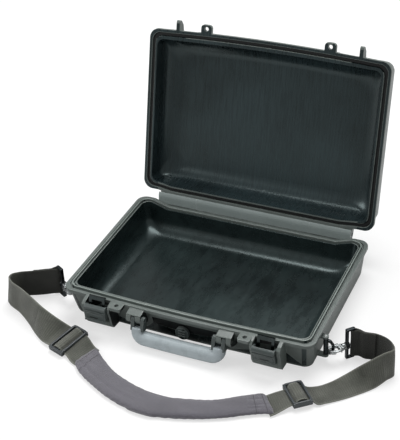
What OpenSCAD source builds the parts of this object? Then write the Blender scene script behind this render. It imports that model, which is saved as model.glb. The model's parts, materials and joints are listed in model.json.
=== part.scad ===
// A hard case for a laptop, standing open, with its shoulder strap lying beside it.
// Millimetres. X runs to the right, Y to the back, Z up. The origin is the middle of
// the face that the lower shell rests on.

/* [Case shells] */
// Width of the case over its rim
case_width = 427; // [415:1:440]
// Depth of the case over its rim, without the bow of the front edge
case_depth = 289; // [280:1:300]
// Height of the lower shell up to the parting plane
base_height = 60; // [58:0.5:62]
// Height of the lid above the parting plane
lid_height = 52; // [44:1:60]
// How far the front edge bows outward at the middle
front_bow = 5; // [3:0.5:6]
// Corner radius of the rim, seen from above
rim_corner_radius = 17; // [14:1:22]
// Height of the rim flange on each shell
flange_height = 6; // [5:0.5:7]
// How far the flange stands out from the wall
flange_overhang = 3; // [2:0.5:4]
// Breadth of the rim from its outer edge to the inner opening
rim_breadth = 14; // [13.5:0.5:16]
// Thickness of the floor of the lower shell
floor_thickness = 7; // [5:0.5:9]
// Thickness of the top of the lid
lid_top_thickness = 6; // [4:0.5:8]
// How far the walls of the lower shell draw in from rim to floor
wall_draft = 5.5; // [4:0.5:7]

/* [Rim seal] */
// Height of the tongue above the parting plane
tongue_height = 2.5; // [2:0.25:3]
// Thickness of the tongue
tongue_thickness = 1.8; // [1.4:0.1:2.2]
// Depth of the gasket groove in the lid
groove_depth = 6; // [5:0.5:7]

/* [Hinge] */
// Angle between the lid and its closed position
lid_open_angle = 105; // [90:1:115]
// Distance of the hinge pin behind the rear edge of the rim
hinge_setback = 10; // [9.5:0.25:11]
// Outer radius of the hinge barrels
barrel_radius = 8.5; // [7:0.25:8.75]
// Radius of the hinge pin
hinge_pin_radius = 2.5; // [2:0.25:3.5]
// Half length of the lower shell's middle barrel
middle_barrel_half = 105; // [80:1:130]
// Half length of the whole hinge
hinge_half = 178; // [160:1:180]
// How far the parting line dips along the hinge
parting_dip = 9.5; // [8:0.5:10]

/* [Latches] */
// Distance of each latch from the middle of the case
latch_offset = 142.5; // [141:0.5:144]
// Width of the latch lever
lever_width = 37; // [34:0.5:37.5]
// Width of the claw
claw_width = 28; // [22:1:29]
// Opening angle of the right lever in the photograph
right_lever_angle = 18; // [16:1:26]
// Opening angle of the left lever in the photograph
left_lever_angle = 35; // [20:1:40]
// Radius of the lever pins
lever_pin_radius = 1.5; // [1.2:0.1:1.8]
// Radius of the claw pin
claw_pin_radius = 1.25; // [1:0.05:1.5]

/* [Padlock lugs] */
// Distance of each padlock hole from the middle of the case
padlock_offset = 109; // [108:0.5:110]
// Radius of the padlock hole
padlock_hole_radius = 3.5; // [3:0.25:4.5]
// Width of the padlock lug
padlock_lug_width = 21; // [18:1:21]

/* [Carrying handle] */
// Outer radius of the handle grip
grip_radius = 11.4; // [10:0.2:12]
// Length of the soft grip
grip_length = 115; // [110:1:115.4]
// Radius of the handle pins
handle_pin_radius = 2; // [1.5:0.25:2.5]
// Distance of each bracket's middle from the middle of the case
bracket_offset = 76.5; // [76:0.25:77]
// Width of each handle bracket
bracket_width = 25; // [24.5:0.5:26]

/* [Pressure valve] */
// Radius of the valve cap
valve_radius = 11.5; // [10:0.5:13]
// Radius of the valve stem through the wall
valve_stem_radius = 5.5; // [4.5:0.25:6.5]

/* [Shoulder strap] */
// Width of the webbing where it stands on edge
webbing_width = 50; // [48:1:50]
// Thickness of the webbing
webbing_thickness = 2; // [1.4:0.1:2.2]
// Thickness of the shoulder pad at its crown
pad_thickness = 11; // [9:0.5:14]
// Radius of the swivel shank
shank_radius = 3; // [2.5:0.25:3.5]
// Thickness of the flat strap plate
strap_plate_thickness = 4; // [3:0.25:4.5]

/* [Hidden] */
$fn = 64;
half_width = case_width / 2;
half_depth = case_depth / 2;
hinge_y = half_depth + hinge_setback;
hinge_z = base_height;
lid_roof = base_height + lid_height - lid_top_thickness;
parting_gap = 0.3;
fit = 0.06;
flange_inset = flange_overhang;
tongue_outer = 8.7;
tongue_inner = tongue_outer + tongue_thickness;
groove_outer = 5.4;
groove_inner = tongue_inner + 0.9;
dip_inner = 155;
dip_outer = 185;
lever_pivot = [-158, 49];
claw_from_pivot = [2, -10];
claw_lean = 14;
handle_pivot = [-159, 46];
grip_centre = [-166, 17];
valve_x = -3;
valve_z = 24;
recess_y = -137;
ring_pivot_x = 217;
ring_pivot_y = -96;
ring_turn_right = -10;
ring_turn_left = -70;
hook_z = 25;
hook_turn_right = 46.6;
hook_turn_left = 150.8;
right_hook_at = [230, -98.3, 25];
left_hook_at = [-221.5, -108.5, 25];
right_slider_at = [206.5, -191.8, 6.8];
left_slider_at = [-173.5, -205.5, 8.5];
right_low = [
    [252, -70, 3.5], [262, -70, 3], [273, -72, 1.5], [290, -70, 1], [306, -74, 1],
    [319, -83, 1], [325, -95, 1], [317.4, -110.5, 1.2], [308, -130.7, 1.2], [297, -145, 1.2],
    [283.2, -159.9, 1.2], [268.1, -175, 1.8], [250.5, -191, 3.5], [233, -196.9, 8.3],
    [207, -218.8, 8.3], [189.8, -238.9, 3.5]];
right_high = [
    [252, -70, 53.5], [262, -70, 53], [270, -71, 51.5], [289, -69, 51], [305, -73, 51],
    [317, -82, 51], [323, -93, 51], [311.4, -107.2, 50], [295.9, -118.3, 42],
    [276.2, -122.8, 25], [256.7, -131.2, 9], [241, -147.3, 4], [223.7, -162.6, 4],
    [206, -164.8, 5.3], [180, -186.7, 5.3], [163.2, -206.1, 3.5]];
left_low = [
    [-251, -96, 3.5], [-261, -100, 3], [-275, -106, 1.5], [-298, -117, 1], [-318, -127, 1],
    [-325, -134, 1], [-325, -142, 1], [-318, -149, 1], [-290, -163, 1], [-262, -182, 1],
    [-236, -203, 2], [-214, -218, 4], [-197, -224, 6], [-165, -234, 6], [-145.5, -245.5, 3]];
left_high = [
    [-251, -96, 53.5], [-261, -99, 53], [-272, -103, 51.5], [-292, -113, 51], [-310, -123, 51],
    [-318, -131, 51], [-318, -139, 51], [-311, -146, 51], [-284, -158, 50], [-255, -172, 49],
    [-226, -184, 44], [-200, -182, 26], [-182, -177, 11], [-150, -187, 11], [-128, -199.5, 3]];
pad_front = [
    [-146, -248], [-128, -264], [-110, -275], [-77, -292], [-46, -304], [-12, -311], [13, -312],
    [39, -307], [64, -301], [94, -291], [123, -278], [150, -262], [172, -250], [193, -243]];
pad_rear = [
    [-127, -198], [-113, -212], [-97, -224], [-68, -241], [-40, -251], [-14, -258], [9, -261],
    [34, -259], [58, -254], [84, -246], [108, -235], [131, -221], [147, -211], [160, -202]];

// Outline of the case seen from above, drawn in by a distance all round, with the
// front edge moved back and its bow as given.
module case_outline(inset, front_back = 0, bow = front_bow) {
    corner = max(rim_corner_radius - inset * 0.3, 9);
    x_half = half_width - inset;
    y_rear = half_depth - inset;
    y_front = -half_depth + inset + front_back;
    chord_half = x_half - corner;
    bow_half = chord_half - 6;
    bow_radius = (bow_half * bow_half + bow * bow) / (2 * bow);
    translate([-x_half, y_front + corner]) square([2 * x_half, y_rear - y_front - 2 * corner]);
    translate([-chord_half, y_front]) square([2 * chord_half, y_rear - y_front]);
    for (x = [-chord_half, chord_half]) {
        translate([x, y_rear - corner]) circle(r = corner, $fn = 40);
        translate([x, y_front + corner]) circle(r = corner, $fn = 40);
    }
    intersection() {
        translate([0, y_front - bow + bow_radius]) circle(r = bow_radius, $fn = 360);
        translate([-bow_half - 3, y_front - bow - 1]) square([2 * bow_half + 6, bow + 20]);
    }
}

// A level of a wall, drawn as a thin slice of the case outline.
module level(z, inset, front_back, bow) {
    translate([0, 0, z]) linear_extrude(0.01) case_outline(inset, front_back, bow);
}

// Ring between two insets of the case outline, tall enough for every cut.
module rim_ring(outer, inner) {
    translate([0, 0, base_height - 30]) linear_extrude(60) difference() {
        case_outline(outer);
        case_outline(inner);
    }
}

// All the space above the parting surface, which dips along the hinge.
module above(shift) {
    z = base_height + shift;
    dip = z - parting_dip;
    translate([-300, -300, z]) cube([600, 360, 100]);
    translate([0, 300, 0]) rotate([90, 0, 0]) linear_extrude(240.5)
        polygon([[-300, z], [-dip_outer, z], [-dip_inner, dip], [dip_inner, dip],
            [dip_outer, z], [300, z], [300, z + 100], [-300, z + 100]]);
}

// Space between two heights over the parting surface.
module band(low, high) {
    difference() {
        above(low);
        above(high);
    }
}

// Extrudes an outline drawn in Y and Z from one X to another.
module across(from, to) {
    translate([from, 0, 0]) rotate([90, 0, 90]) linear_extrude(to - from) children();
}

// Round bar along X at a place in Y and Z.
module bar_x(from, to, place, radius) {
    translate([from, place[0], place[1]]) rotate([0, 90, 0]) cylinder(h = to - from, r = radius);
}

// Turns what is drawn closed about a line along X.
module turned(place, angle) {
    translate([0, place[0], place[1]]) rotate([angle, 0, 0])
        translate([0, -place[0], -place[1]]) children();
}

// Fittings of the front wall are drawn for a rim 60 high and move with the rim.
module at_rim() {
    translate([0, 0, base_height - 60]) children();
}

module both_sides() {
    children();
    mirror([1, 0, 0]) children();
}

// Front rib of the lower shell, seen from the side.
module rib_outline() {
    polygon([[-136, 60], [-148, 60], [-158, 58], [-163, 53.5], [-163.8, 49], [-162.5, 44],
        [-160, 35], [-157.5, 20], [-152, 10], [-134, 8]]);
}

module latch_bay() {
    left = latch_offset - 19.5;
    right = latch_offset + 19.5;
    difference() {
        union() {
            across(left - 4, left) rib_outline();
            across(right, right + 6) rib_outline();
            across(left - 1, right + 1)
                polygon([[-134, 6], [-149, 7], [-155, 13], [-157, 22], [-150, 23], [-134, 26]]);
        }
        bar_x(left - 5, right + 7, lever_pivot, lever_pin_radius + fit);
    }
}

module padlock_lug() {
    left = padlock_offset - padlock_lug_width / 2;
    right = padlock_offset + padlock_lug_width / 2;
    difference() {
        union() {
            translate([left, -160, 54]) cube([padlock_lug_width, 24, 6]);
            translate([left + 4, -164, 54]) cube([padlock_lug_width - 8, 24, 6]);
            translate([left + 4, -160, 54]) cylinder(h = 6, r = 4);
            translate([right - 4, -160, 54]) cylinder(h = 6, r = 4);
        }
        translate([padlock_offset, -155, 50]) cylinder(h = 20, r = padlock_hole_radius);
    }
}

module handle_bracket() {
    left = bracket_offset - bracket_width / 2;
    right = bracket_offset + bracket_width / 2;
    difference() {
        union() {
            across(left, right)
                polygon([[-138, 58.5], [-147, 58], [-161.5, 55.2], [-162.2, 54.4],
                    [-161.5, 53.4], [-159, 52.6], [-150, 52.6], [-138, 54]]);
            across(left, left + 9.3)
                polygon([[-138, 57], [-150, 56], [-163, 53], [-164.8, 47], [-163, 41],
                    [-156, 35], [-144, 29], [-134, 28]]);
            across(right - 8.4, right)
                polygon([[-138, 57], [-150, 56], [-163, 53], [-164.8, 47], [-163, 41],
                    [-156, 35], [-144, 29], [-134, 28]]);
        }
        bar_x(left - 1, right + 1, handle_pivot, handle_pin_radius + fit);
        bar_x(left + 9.3, right - 8.4, handle_pivot, 6.8);
        across(right - 3, right + 1) polygon([[-143, 53], [-155, 51.5], [-143, 36]]);
    }
}

// Lugs on the side wall that carry a strap plate.
module strap_lug() {
    for (z = [8, 44]) {
        difference() {
            union() {
                translate([ring_pivot_x, ring_pivot_y, z]) cylinder(h = 4, r = 5);
                translate([200, ring_pivot_y - 5, z]) cube([ring_pivot_x - 200, 10, 4]);
            }
            translate([ring_pivot_x, ring_pivot_y, z - 1])
                cylinder(h = 6, r = 2 + fit);
        }
    }
}

module base_shell() {
    color("#33393a") difference() {
        union() {
            intersection() {
                hull() {
                    level(0, wall_draft + 7.5, 8, 4);
                    level(2.5, wall_draft + 4.5, 8, 4);
                    level(7, wall_draft + 3, 8, 4);
                    level(base_height, flange_inset, 0, front_bow);
                }
                translate([-300, -300, -1]) cube([600, 600, base_height + 1]);
            }
            intersection() {
                translate([0, 0, base_height - 30]) linear_extrude(30) case_outline(0);
                above(-flange_height);
            }
            both_sides() at_rim() latch_bay();
            both_sides() at_rim() padlock_lug();
            both_sides() at_rim() handle_bracket();
            both_sides() strap_lug();
            across(-middle_barrel_half, middle_barrel_half)
                polygon([[hinge_y - 14.5, hinge_z - 24], [hinge_y - 9.5, hinge_z - 19],
                    [hinge_y - 0.5, hinge_z - 14], [hinge_y + 6.5, hinge_z - 5.5],
                    [hinge_y, hinge_z], [hinge_y - 10, hinge_z - 9.8],
                    [hinge_y - 14.5, hinge_z - 9.8]]);
            bar_x(-middle_barrel_half, middle_barrel_half, [hinge_y, hinge_z], barrel_radius);
            both_sides() across(middle_barrel_half - 1, hinge_half)
                polygon([[hinge_y - 14.5, hinge_z - 24], [hinge_y - 9.5, hinge_z - 19],
                    [hinge_y - 0.5, hinge_z - 14], [hinge_y + 4, hinge_z - 11.5],
                    [hinge_y + 4, hinge_z - 9.2], [hinge_y, hinge_z - 9.4],
                    [hinge_y - 4, hinge_z - 9.4], [hinge_y - 7.5, hinge_z - 9.8],
                    [hinge_y - 14.5, hinge_z - 9.8]]);
        }
        hull() {
            level(floor_thickness, rim_breadth + 15, 5, 4);
            level(floor_thickness + 0.69, rim_breadth + 11.56, 5, 4);
            level(floor_thickness + 2.64, rim_breadth + 8.64, 5, 4);
            level(floor_thickness + 5.56, rim_breadth + 6.69, 5, 4);
            level(floor_thickness + 9, rim_breadth + 6, 5, 4);
            level(base_height + 5, rim_breadth, 1, 4);
        }
        intersection() {
            above(0);
            translate([-300, -300, 0]) cube([600, half_depth + 300, 200]);
        }
        intersection() {
            rim_ring(5.5, 13);
            above(-3);
        }
        translate([-55, -170, -1]) cube([110, 170 + recess_y, base_height - 17]);
        both_sides() at_rim() translate([latch_offset - 17.5, -150, 37]) cube([35, 11, 16]);
        translate([valve_x, -150, valve_z]) rotate([-90, 0, 0])
            cylinder(h = 40, r = valve_stem_radius + fit);
        bar_x(-200, 200, [hinge_y, hinge_z], hinge_pin_radius + 0.02);
    }
    color("#33393a") intersection() {
        rim_ring(tongue_outer, tongue_inner);
        band(-4, tongue_height);
    }
}

// Lid parts are drawn closed and then turned open.
module opened() {
    turned([hinge_y, hinge_z], -lid_open_angle) children();
}

// Padlock lug of the lid, seen from above with the lid closed.
module lid_lug() {
    left = padlock_offset - padlock_lug_width / 2 + 0.5;
    right = padlock_offset + padlock_lug_width / 2 - 0.5;
    low = base_height + parting_gap;
    difference() {
        union() {
            translate([left, -156, low]) cube([right - left, 14, flange_height]);
            translate([left + 6, -162, low]) cube([right - left - 12, 14, flange_height]);
            translate([left + 6, -156, low]) cylinder(h = flange_height, r = 6);
            translate([right - 6, -156, low]) cylinder(h = flange_height, r = 6);
        }
        translate([padlock_offset, -155, low - 1]) cylinder(h = 20, r = padlock_hole_radius);
    }
}

module lid_rib() {
    across(157.8, 164.8)
        polygon([[-142, 60.3], [-158, 60.3], [-162, 61.5], [-163, 64], [-162, 68],
            [-154, 76], [-142, 79]]);
}

// Barrel of the lid with the web that joins it to the skirt.
module lid_barrel() {
    bar_x(middle_barrel_half + 0.5, hinge_half, [hinge_y, hinge_z], barrel_radius);
    intersection() {
        across(middle_barrel_half + 0.5, hinge_half)
            polygon([[hinge_y - 14.5, hinge_z - 10], [hinge_y - 10, hinge_z - 9.2],
                [hinge_y - 7, hinge_z - 5.5], [hinge_y, hinge_z], [hinge_y, hinge_z + 8],
                [hinge_y - 10, hinge_z + 10], [hinge_y - 14.5, hinge_z + 14]]);
        above(parting_gap);
    }
}

module lid_shell() {
    color("#2f3535") opened() difference() {
        union() {
            intersection() {
                hull() {
                    level(base_height - 14, flange_inset, 0, front_bow);
                    level(base_height + lid_height - 8, flange_inset + 3, 3, 4);
                    level(base_height + lid_height - 2.5, flange_inset + 5, 3, 4);
                    level(base_height + lid_height, flange_inset + 9, 3, 4);
                }
                above(parting_gap);
            }
            intersection() {
                translate([0, 0, base_height - 30]) linear_extrude(60) case_outline(0);
                band(parting_gap, flange_height + parting_gap);
            }
            both_sides() lid_lug();
            both_sides() at_rim() lid_rib();
            both_sides() lid_barrel();
            for (x = [-110, -60, 60, 110])
                translate([x - 5, -90, base_height + lid_height - 1]) cube([10, 190, 3]);
        }
        hull() {
            level(base_height - 20, rim_breadth, 1, 4);
            level(lid_roof - 10, rim_breadth + 3, 3, 4);
            level(lid_roof - 6.17, rim_breadth + 3.76, 3, 4);
            level(lid_roof - 2.93, rim_breadth + 5.93, 3, 4);
            level(lid_roof - 0.76, rim_breadth + 9.17, 3, 4);
            level(lid_roof, rim_breadth + 13, 3, 4);
        }
        intersection() {
            rim_ring(groove_outer, groove_inner);
            band(-1, groove_depth + parting_gap);
        }
        both_sides() translate([latch_offset - 17.5, -160, base_height + 3.4])
            cube([32.5, 16, 20]);
        bar_x(-200, 200, [hinge_y, hinge_z], hinge_pin_radius + fit);
    }
}

module lid_gasket() {
    color("#141616") opened() intersection() {
        rim_ring(groove_outer + 0.3, groove_inner - 0.3);
        band(tongue_height + 0.4, groove_depth);
    }
}

module hinge_pin() {
    color("#8d9494") bar_x(-hinge_half + 1, hinge_half - 1, [hinge_y, hinge_z], hinge_pin_radius);
}

// One lever, drawn at the opening angle of the right latch.
module lever(angle) {
    left = latch_offset - lever_width / 2;
    right = latch_offset + lever_width / 2;
    claw_at = claw_place(18);
    turned(lever_pivot, 18 - angle) difference() {
        union() {
            across(left, right)
                polygon([[-164.6, 55.4], [-168.5, 53.8], [-170.3, 50.5], [-169.8, 47.5],
                    [-168.3, 46.5], [-163.8, 29], [-164.6, 26.5], [-162, 26], [-160.6, 29],
                    [-165, 45], [-166, 50], [-164.4, 52.4]]);
            for (x = [left, right - 3])
                across(x, x + 3)
                    polygon([[-164.6, 55.4], [-158, 53.2], [-154.4, 51], [-154, 47], [-155.5, 38],
                        [-157, 34.5], [-160.6, 29.5], [-163.8, 29], [-168.3, 46.5], [-170.3, 50.5],
                        [-168.5, 53.8]]);
        }
        bar_x(left - 1, right + 1, lever_pivot, lever_pin_radius + fit);
        bar_x(left - 1, right + 1, claw_at, claw_pin_radius + fit);
    }
}

// Place of the claw pin when the lever stands at an opening angle.
function claw_place(angle) = [
    lever_pivot[0] + claw_from_pivot[0] * cos(angle) + claw_from_pivot[1] * sin(angle),
    lever_pivot[1] - claw_from_pivot[0] * sin(angle) + claw_from_pivot[1] * cos(angle)];

// A claw drawn about its pin, leaning toward the case.
module claw(angle) {
    place = claw_place(angle);
    left = latch_offset - claw_width / 2;
    translate([0, place[0], place[1]]) rotate([-claw_lean, 0, 0]) difference() {
        union() {
            across(left, left + claw_width)
                polygon([[-1.2, 0], [1.2, 0], [1.2, 26.6], [4.6, 26.6], [4.6, 28.4],
                    [2.5, 30.4], [-1.2, 30.4]]);
            bar_x(left, left + claw_width, [0, 0], 3);
        }
        bar_x(left - 1, left + claw_width + 1, [0, 0], claw_pin_radius + fit);
        translate([left + 5, -5, 5.5]) cube([claw_width - 10, 10, 18]);
    }
}

module claw_pin(angle) {
    bar_x(latch_offset - lever_width / 2 + 0.5, latch_offset + lever_width / 2 - 0.5,
        claw_place(angle), claw_pin_radius);
}

module lever_pins() {
    bar_x(latch_offset - 23, latch_offset - lever_width / 2 + 3, lever_pivot, lever_pin_radius);
    bar_x(latch_offset + lever_width / 2 - 3, latch_offset + 25, lever_pivot, lever_pin_radius);
}

module latch_lever_left() {
    color("#3c4343") at_rim() mirror([1, 0, 0]) lever(left_lever_angle);
}

module latch_lever_right() {
    color("#3c4343") at_rim() lever(right_lever_angle);
}

module latch_claw_left() {
    color("#4a5151") at_rim() mirror([1, 0, 0]) claw(left_lever_angle);
}

module latch_claw_right() {
    color("#4a5151") at_rim() claw(right_lever_angle);
}

module lever_pins_left() {
    color("#8d9494") at_rim() mirror([1, 0, 0]) lever_pins();
}

module lever_pins_right() {
    color("#8d9494") at_rim() lever_pins();
}

module claw_pin_left() {
    color("#8d9494") at_rim() mirror([1, 0, 0]) claw_pin(left_lever_angle);
}

module claw_pin_right() {
    color("#8d9494") at_rim() claw_pin(right_lever_angle);
}

// One forked end of the handle.
module handle_fork() {
    left = bracket_offset - bracket_width / 2;
    inner = grip_length / 2 + 0.3;
    for (x = [[inner, left - 0.6], [left + 9.9, left + 15.9]]) {
        bar_x(x[0], x[1], handle_pivot, 6);
        across(x[0], x[1])
            polygon([[-165, 46], [-153, 46], [-158, 20], [-174, 20]]);
    }
    across(inner, left + 15.9)
        polygon([[-167.5, 34], [-156.5, 34], [-157, 17], [-162, 8], [-170, 8], [-176, 17]]);
}

module handle_frame() {
    color("#2c3232") at_rim() difference() {
        union() {
            both_sides() handle_fork();
            bar_x(-60, 60, grip_centre, 6);
        }
        both_sides() bar_x(50, 100, handle_pivot, handle_pin_radius + fit);
    }
}

module handle_grip() {
    half = grip_length / 2;
    color("#8fa0ab") at_rim() translate([0, grip_centre[0], grip_centre[1]])
        rotate([0, 90, 0]) rotate_extrude() {
            translate([6 + fit, -half]) square([grip_radius - 7.9 - fit, grip_length]);
            translate([grip_radius - 2, -half + 1.9]) square([2, grip_length - 3.8]);
            translate([grip_radius - 1.9, -half + 1.9]) circle(r = 1.9, $fn = 32);
            translate([grip_radius - 1.9, half - 1.9]) circle(r = 1.9, $fn = 32);
        }
}

module handle_pins() {
    left = bracket_offset - bracket_width / 2;
    color("#8d9494") at_rim() both_sides()
        bar_x(grip_length / 2 + 0.8, left + bracket_width - 0.5, handle_pivot, handle_pin_radius);
}

// Round piece of the valve, standing along Y from one depth to another.
module valve_disc(from, to, radius) {
    translate([valve_x, from, valve_z]) rotate([-90, 0, 0]) cylinder(h = to - from, r = radius);
}

module valve_body() {
    color("#262b2b") difference() {
        union() {
            valve_disc(recess_y - 3, recess_y - 1.5, valve_radius);
            valve_disc(recess_y - 2, recess_y + 22, valve_stem_radius);
        }
        valve_disc(recess_y - 4, recess_y + 23, 2.5);
    }
}

module valve_cap() {
    color("#3a4142") difference() {
        union() {
            valve_disc(recess_y - 6.5, recess_y - 3, valve_radius);
            for (z = [-5, 0, 5])
                translate([valve_x - 6, recess_y - 8, valve_z + z - 1]) cube([12, 2, 2]);
        }
        valve_disc(recess_y - 5, recess_y - 2.9, valve_radius - 2);
    }
}

module valve_seal() {
    color("#141616") difference() {
        valve_disc(recess_y - 1.5, recess_y, valve_radius - 1.5);
        valve_disc(recess_y - 2, recess_y + 1, valve_stem_radius + 0.3);
    }
}

module valve_nut() {
    color("#2c3232") difference() {
        translate([valve_x, recess_y + 13.8, valve_z]) rotate([-90, 0, 0])
            cylinder(h = 5, r = 9.5, $fn = 6);
        valve_disc(recess_y + 10, recess_y + 22, valve_stem_radius + fit);
    }
}

// A flat strap plate about its upright pin, pointing along X.
module strap_plate() {
    difference() {
        union() {
            translate([0, 0, 12.4]) cylinder(h = 31.2, r = 3.4);
            translate([0, strap_plate_thickness / 2, 0]) rotate([90, 0, 0])
                linear_extrude(strap_plate_thickness)
                    polygon([[0, 13], [9, 14.5], [15, 21], [15, 35], [9, 41.5], [0, 43]]);
        }
        translate([0, 10, 0]) rotate([90, 0, 0]) linear_extrude(20)
            polygon([[4.3, 19], [8, 18.5], [11.5, 22], [11.5, 34], [8, 37.5], [4.3, 37]]);
        translate([0, 0, 5]) cylinder(h = 50, r = 2 + fit);
    }
}

module strap_plate_right() {
    color("#202525") translate([ring_pivot_x, ring_pivot_y, 0])
        rotate([0, 0, ring_turn_right]) strap_plate();
}

module strap_plate_left() {
    color("#202525") mirror([1, 0, 0]) translate([ring_pivot_x, ring_pivot_y, 0])
        rotate([0, 0, ring_turn_left]) strap_plate();
}

module strap_plate_pin() {
    translate([ring_pivot_x, ring_pivot_y, 8]) cylinder(h = 40, r = 2);
}

module strap_plate_pin_left() {
    color("#8d9494") mirror([1, 0, 0]) strap_plate_pin();
}

module strap_plate_pin_right() {
    color("#8d9494") strap_plate_pin();
}

// Snap hook about the strap plate's outer bar, with its swivel along X.
module snap_hook() {
    difference() {
        union() {
            translate([0, 0, -3]) cylinder(h = 6, r = 8.4);
            translate([0, -8.4, -3]) cube([12, 16.8, 6]);
            translate([11, -6, -3]) cube([5, 12, 6]);
            translate([15, 0, 0]) rotate([0, 90, 0]) cylinder(h = 6.2, r = 5);
            translate([15, 0, 0]) rotate([0, 90, 0]) cylinder(h = 13.4, r = shank_radius);
            translate([26.6, 0, 0]) rotate([0, 90, 0]) cylinder(h = 1.8, r = 4.6);
        }
        translate([0, 0, -4]) cylinder(h = 8, r = 3.7);
        translate([0, -3.7, -4]) cube([8.5, 7.4, 8]);
        translate([1.5, -9, -4]) cube([8.5, 6, 8]);
        translate([10, -6, -4]) cylinder(h = 8, r = 1 + fit);
        translate([8, -9, -1.7]) cube([4.4, 6, 3.4]);
    }
}

module snap_gate() {
    difference() {
        union() {
            translate([1.8, -7.4, -1.5]) cube([8.2, 2.8, 3]);
            translate([10, -6, -1.5]) cylinder(h = 3, r = 1.9);
        }
        translate([10, -6, -4]) cylinder(h = 8, r = 1 + fit);
    }
}

module gate_pin() {
    translate([10, -6, -3]) cylinder(h = 6, r = 1);
}

// Swivel loop about the shank, with the bar that carries the webbing.
module swivel_loop() {
    difference() {
        union() {
            translate([21.6, -3, -hook_z]) cube([4, 6, 56.6]);
            translate([21.6, 0, 0]) rotate([0, 90, 0]) cylinder(h = 4.6, r = 6);
            translate([22, -3, -hook_z]) cube([12, 6, 3]);
            translate([22, -3, -hook_z + 53.6]) cube([12, 6, 3]);
            translate([34, 0, -hook_z]) cylinder(h = 56.6, r = 2);
            translate([34, 0, -hook_z]) cylinder(h = 3, r = 3);
            translate([34, 0, -hook_z + 53.6]) cylinder(h = 3, r = 3);
        }
        translate([15, 0, 0]) rotate([0, 90, 0]) cylinder(h = 20, r = shank_radius + fit);
    }
}

module at_right_hook() {
    translate(right_hook_at) rotate([0, 0, hook_turn_right]) children();
}

module at_left_hook() {
    translate(left_hook_at) rotate([0, 0, hook_turn_left]) mirror([0, 1, 0]) children();
}

module snap_hook_left() {
    color("#70787a") at_left_hook() snap_hook();
}

module snap_hook_right() {
    color("#70787a") at_right_hook() snap_hook();
}

module snap_gate_left() {
    color("#8d9494") at_left_hook() snap_gate();
}

module snap_gate_right() {
    color("#8d9494") at_right_hook() snap_gate();
}

module gate_pin_left() {
    color("#8d9494") at_left_hook() gate_pin();
}

module gate_pin_right() {
    color("#8d9494") at_right_hook() gate_pin();
}

module swivel_loop_left() {
    color("#5b6365") at_left_hook() swivel_loop();
}

module swivel_loop_right() {
    color("#5b6365") at_right_hook() swivel_loop();
}

// Ribbon between two edge lines, with its thickness set off level from its face.
module ribbon(low_line, high_line) {
    last = len(low_line) - 1;
    share = webbing_width / 100;
    low = [for (i = [0 : last])
        (low_line[i] + high_line[i]) / 2 + (low_line[i] - high_line[i]) * share];
    high = [for (i = [0 : last])
        (low_line[i] + high_line[i]) / 2 + (high_line[i] - low_line[i]) * share];
    function side(i) =
        let (a = (low[max(i - 1, 0)] + high[max(i - 1, 0)]) / 2,
            b = (low[min(i + 1, last)] + high[min(i + 1, last)]) / 2,
            n = cross(b - a, high[i] - low[i]))
        n / norm(n) * webbing_thickness / 2;
    points = [for (i = [0 : last]) each
        [low[i] - side(i), low[i] + side(i), high[i] + side(i), high[i] - side(i)]];
    sides = [for (i = [0 : last - 1], k = [0 : 3]) each
        let (a = 4 * i + k, b = 4 * i + (k + 1) % 4)
        [[a, b, b + 4], [a, b + 4, a + 4]]];
    ends = [[0, 3, 2], [0, 2, 1],
        [4 * last, 4 * last + 1, 4 * last + 2], [4 * last, 4 * last + 2, 4 * last + 3]];
    polyhedron(points = points, faces = concat(sides, ends), convexity = 10);
}

// The turn of the webbing about the bar of a swivel loop.
module webbing_sleeve() {
    translate([34, 0, 28.5 - hook_z]) difference() {
        cylinder(h = webbing_width, r = 4.3, center = true);
        cylinder(h = webbing_width + 2, r = 2.3, center = true);
    }
}

module webbing_right() {
    color("#4d4f44") {
        ribbon(right_low, right_high);
        at_right_hook() webbing_sleeve();
    }
}

module webbing_left() {
    color("#4d4f44") {
        ribbon(left_low, left_high);
        at_left_hook() webbing_sleeve();
    }
}

// Slider with its middle bar over the webbing and its end bars under it.
module slider(webbing_half) {
    half = webbing_half + 4.5;
    for (y = [-half, half - 3.5])
        translate([-15, y, -3.5]) cube([30, 3.5, 8]);
    for (x = [-15, 11])
        translate([x, 0.5 - half, -3.5]) cube([4, 2 * half - 1, 2]);
    translate([-4, 0.5 - half, 1.6]) cube([8, 2 * half - 1, 2.9]);
}

module slider_right() {
    color("#3a3f42") translate(right_slider_at) rotate([0, 0, -139.9])
        rotate([4, 0, 0]) slider(21);
}

module slider_left() {
    color("#3a3f42") translate(left_slider_at) rotate([0, 0, -17.7])
        rotate([5, 0, 0]) slider(25);
}

// Height of the pad over its width, from the front edge to the rear edge.
pad_section = [[0, 0], [-0.01, 0.3], [0.02, 0.52], [0.1, 0.74], [0.24, 0.86], [0.3, 0.7],
    [0.36, 0.88], [0.5, 0.98], [0.66, 1], [0.82, 0.9], [0.94, 0.66], [1.005, 0.34], [1, 0]];

// Draws the pad in toward its two ends.
function end_ease(i, last) = i == 0 || i == last ? 0.55 : i == 1 || i == last - 1 ? 0.88 : 1;

module shoulder_pad() {
    last = len(pad_front) - 1;
    n = len(pad_section);
    points = [for (i = [0 : last]) each [for (s = pad_section)
        let (p = pad_front[i] + (pad_rear[i] - pad_front[i]) * s[0])
        [p[0], p[1], s[1] * pad_thickness * end_ease(i, last)]]];
    sides = [for (i = [0 : last - 1], k = [0 : n - 1]) each
        let (a = n * i + k, b = n * i + (k + 1) % n)
        [[a, b, b + n], [a, b + n, a + n]]];
    first_end = [for (k = [n - 1 : -1 : 0]) k];
    last_end = [for (k = [0 : n - 1]) n * last + k];
    color("#5a5a63") polyhedron(points = points,
        faces = concat(sides, [first_end, last_end]), convexity = 10);
}

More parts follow.
